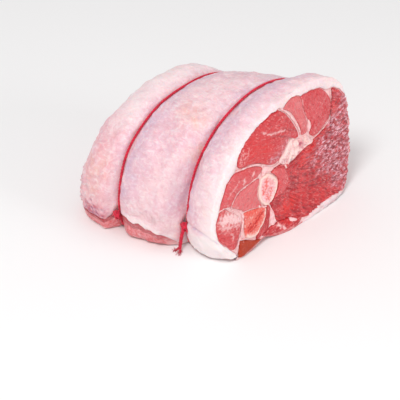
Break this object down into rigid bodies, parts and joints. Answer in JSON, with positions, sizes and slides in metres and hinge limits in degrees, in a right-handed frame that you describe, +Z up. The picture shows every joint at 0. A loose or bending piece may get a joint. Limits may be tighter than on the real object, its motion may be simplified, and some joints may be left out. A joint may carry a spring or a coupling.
{
  "type": "leg of lamb joint",
  "caption": "Raw semi-boneless leg of lamb joint with a fat cover, a cut face with muscles and bones, rolled and tied with red butcher's twine.",
  "frame": {"origin": "bottom centre of the box of the whole joint, on the surface that it rests on", "axes": "+X towards the sawn cut face, +Y to the back, away from the knots, +Z up"},
  "size_m": [0.1554, 0.1884, 0.1123],
  "materials": {
    "lean_red": null,
    "fat_pink_white": null,
    "bone_cream": null,
    "gristle_white": null,
    "twine_red": "twisted red butcher's twine"
  },
  "bodies": {
    "root": {"lean_meat": "lean_red", "fat_cover": "fat_pink_white", "underside_fat": "fat_pink_white", "thigh_bone": "bone_cream", "spongy_bone": "bone_cream", "gristle": "gristle_white", "twine_left": "twine_red", "twine_right": "twine_red"}
  },
  "joints": []
}
